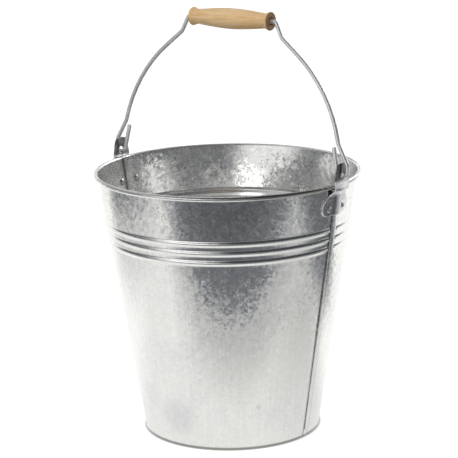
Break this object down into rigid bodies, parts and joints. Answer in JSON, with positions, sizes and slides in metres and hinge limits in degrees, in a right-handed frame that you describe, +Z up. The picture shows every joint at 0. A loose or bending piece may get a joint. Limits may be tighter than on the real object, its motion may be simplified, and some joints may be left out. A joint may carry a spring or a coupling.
{
  "type": "galvanised bucket",
  "caption": "Tapered galvanised steel bucket with rolled ridges and rim, lock-seamed halves, riveted ears and a swinging wire bail with a turned wooden grip.",
  "frame": {"origin": "on the ground, at the middle of the foot", "axes": "+Z up along the bucket's axis, +X through the right ear and along the bail's hinge, +Y to the back"},
  "size_m": [0.318, 0.3, 0.4738],
  "materials": {
    "galvanised_sheet": "galvanised, semi-gloss, with soft grey spangle",
    "galvanised_plate": "galvanised, satin",
    "galvanised_wire": "galvanised, satin",
    "rivet_steel": "galvanised, satin",
    "beech_wood": "turned and left bare, with fine grain"
  },
  "bodies": {
    "bucket": {"front_wall": "galvanised_sheet", "back_wall": "galvanised_sheet", "bottom_disc": "galvanised_sheet", "rim_wire": "galvanised_wire", "right_ear": "galvanised_plate", "left_ear": "galvanised_plate", "right_ear_rivet_front": "rivet_steel", "right_ear_rivet_back": "rivet_steel", "left_ear_rivet_front": "rivet_steel", "left_ear_rivet_back": "rivet_steel"},
    "bail": {"bail": "galvanised_wire"},
    "grip": {"grip": "beech_wood"}
  },
  "joints": [
    {"name": "bail_swing", "type": "hinge", "parent": "bucket", "child": "bail", "pos_m": [0, 0, 0.30205], "axis": [1, 0, 0], "range_deg": [-86, 96]},
    {"name": "grip_spin", "type": "hinge", "parent": "bail", "child": "grip", "pos_m": [0, 0.01403, 0.46244], "axis": [1, 0, 0], "continuous": true}
  ]
}
